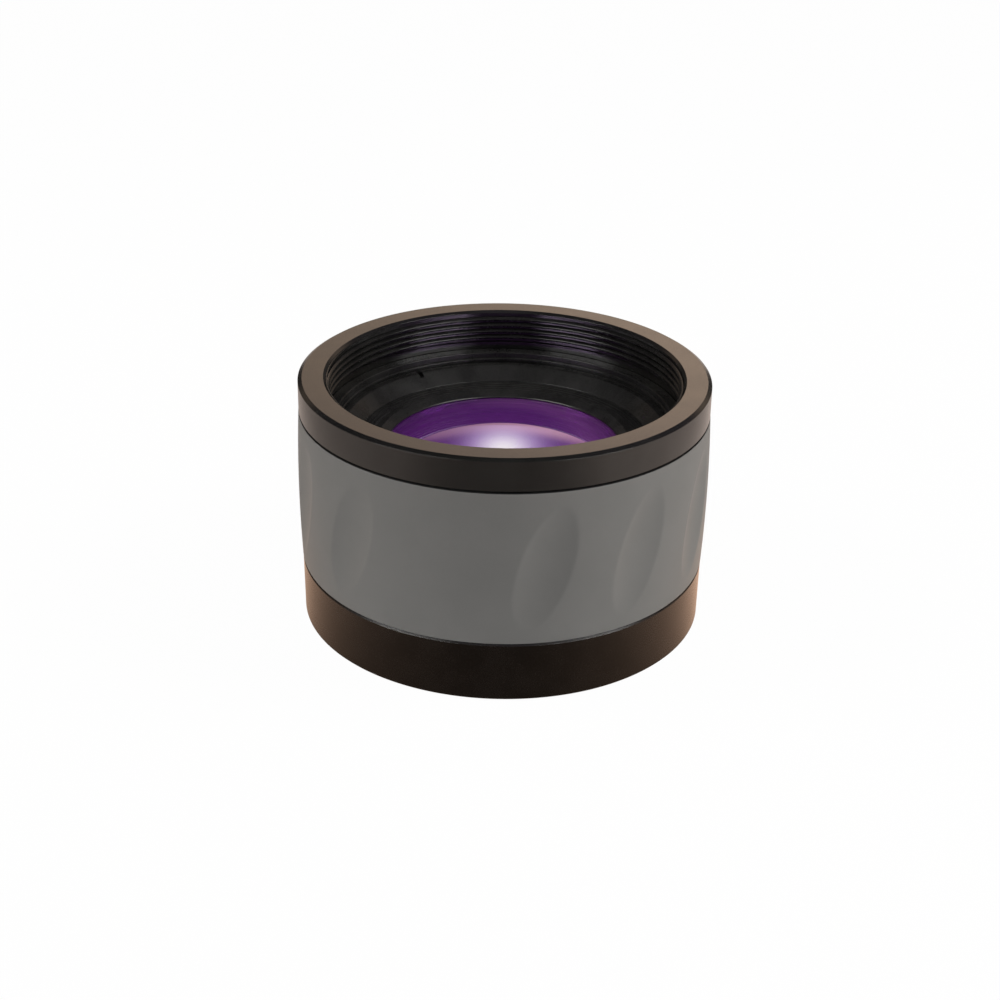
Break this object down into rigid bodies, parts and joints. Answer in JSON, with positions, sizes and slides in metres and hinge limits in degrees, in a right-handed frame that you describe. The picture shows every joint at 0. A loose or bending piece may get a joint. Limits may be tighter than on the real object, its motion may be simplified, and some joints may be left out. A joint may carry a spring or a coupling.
{
  "type": "telescope focal reducer",
  "caption": "Short round lens barrel with black end rings, a grey crowned grip with slanted finger recesses, a wide threaded mouth and a coated lens deep inside.",
  "frame": {"origin": "centre of the bottom of the bounding box, on the optical axis, at the rear face it stands on", "axes": "+Z along the optical axis, out of the telescope-side mouth; +Y away from the viewer of the picture"},
  "size_m": [0.0972, 0.0973, 0.0593],
  "materials": {
    "black_anodised": "satin black anodised aluminium",
    "grey_anodised": "fine matte grey anodised aluminium",
    "black_inner": "matte black anodised aluminium, turned",
    "coated_glass": "polished glass with a violet coating",
    "plain_glass": "polished glass",
    "soft_rubber": "soft black rubber",
    "steel": "blackened steel"
  },
  "bodies": {
    "root": {"front_ring": "black_anodised", "grip_barrel": "grey_anodised", "rear_ring": "black_anodised", "lens_cell": "black_inner", "front_retaining_ring": "black_inner", "glare_ring": "black_inner", "front_element": "coated_glass", "second_element": "plain_glass", "middle_element": "plain_glass", "light_stop": "black_inner", "middle_spacer": "black_inner", "fourth_element": "plain_glass", "rear_spacer": "black_inner", "rear_element": "coated_glass", "rear_gasket": "soft_rubber", "rear_retaining_ring": "black_inner", "front_cushion_ring": "soft_rubber", "front_joint_seal": "soft_rubber", "rear_joint_seal": "soft_rubber", "cell_grub_screw_1": "steel", "cell_grub_screw_2": "steel", "cell_grub_screw_3": "steel"}
  },
  "joints": []
}
